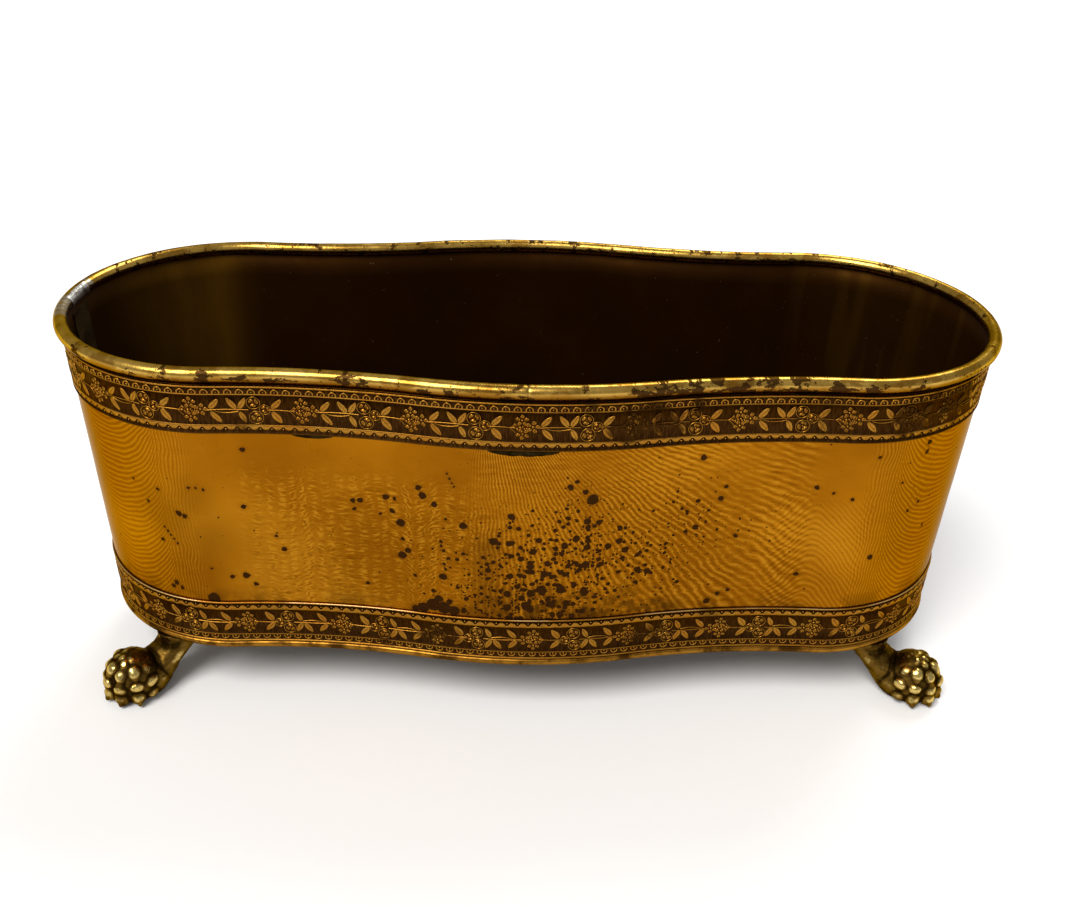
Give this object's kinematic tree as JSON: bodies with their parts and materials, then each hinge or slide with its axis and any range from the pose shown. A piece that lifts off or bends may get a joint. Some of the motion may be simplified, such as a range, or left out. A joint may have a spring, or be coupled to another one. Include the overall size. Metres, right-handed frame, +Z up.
{
  "type": "planter pot",
  "caption": "Long serpentine planter pot of sheet brass with a rolled lip, embossed floral strips and cast lion-paw feet.",
  "frame": {"origin": "on the floor under the middle of the pot", "axes": "+X along the length to the right, +Y to the rear, +Z up"},
  "size_m": [0.386, 0.158, 0.1589],
  "materials": {
    "wall_brass": "polished sheet with dark tarnish spots outside, dark brown patina inside",
    "lip_brass": "polished and rubbed, with brown tarnish in patches",
    "strip_brass": "embossed, bright raised work on a dark brown ground",
    "cast_brass": "cast, bright on the raised parts and dark olive in the hollows",
    "dark_brass": "unpolished sheet with a dark brown patina",
    "steel": "plain, dull with age",
    "solder": "soft solder, silvery and uneven",
    "dark_solder": "soft solder with a dark olive tarnish"
  },
  "bodies": {
    "root": {"wall_sheet": "wall_brass", "wall_seam_strap": "dark_brass", "rim_roll": "lip_brass", "rim_wire": "steel", "rim_repair_solder": "solder", "upper_band": "strip_brass", "lower_band": "strip_brass", "upper_band_solder_centre": "dark_solder", "upper_band_solder_left": "dark_solder", "base_plate": "dark_brass", "base_bead": "lip_brass", "base_seam_solder": "solder", "foot_front_left": "cast_brass", "foot_front_right": "cast_brass", "foot_rear_left": "cast_brass", "foot_rear_right": "cast_brass", "foot_stud_front_left": "steel", "foot_stud_front_right": "steel", "foot_stud_rear_left": "steel", "foot_stud_rear_right": "steel", "foot_washer_front_left": "steel", "foot_washer_front_right": "steel", "foot_washer_rear_left": "steel", "foot_washer_rear_right": "steel", "foot_nut_front_left": "steel", "foot_nut_front_right": "steel", "foot_nut_rear_left": "steel", "foot_nut_rear_right": "steel"}
  },
  "joints": []
}
